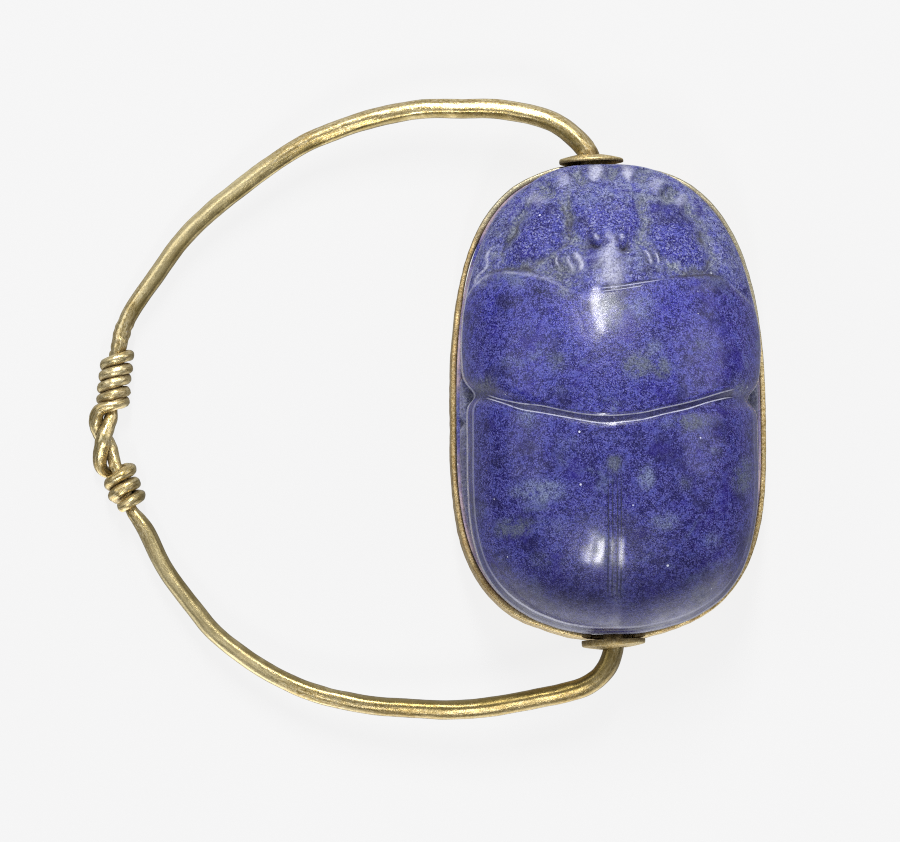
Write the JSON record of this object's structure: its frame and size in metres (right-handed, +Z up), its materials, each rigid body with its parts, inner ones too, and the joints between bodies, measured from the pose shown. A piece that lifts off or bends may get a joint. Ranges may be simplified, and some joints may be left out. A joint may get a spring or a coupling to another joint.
{
  "type": "scarab amulet ring",
  "caption": "Carved lapis lazuli scarab in a thin gold band, turning on a gold wire hoop whose wound ends tie opposite the stone; worn on a finger or kept as an amulet.",
  "frame": {"origin": "middle of the scarab's flat underside, on the surface it lies on", "axes": "+Z up out of the scarab's back, +Y towards its head, -X towards the tie of the hoop"},
  "size_m": [0.0268, 0.0246, 0.0077],
  "materials": {
    "lapis": "polished, carved, dulled in the grooves",
    "gold": "hammered and drawn gold, soft polish with brown staining in the recesses"
  },
  "bodies": {
    "setting": {"scarab": "lapis", "bezel": "gold", "washer_head": "gold", "washer_tail": "gold"},
    "hoop": {"hoop": "gold"}
  },
  "joints": [
    {"name": "swivel", "type": "hinge", "parent": "setting", "child": "hoop", "pos_m": [-0.0003, 0, 0.0024], "axis": [-0.0337, 0.9994, 0], "continuous": true}
  ]
}
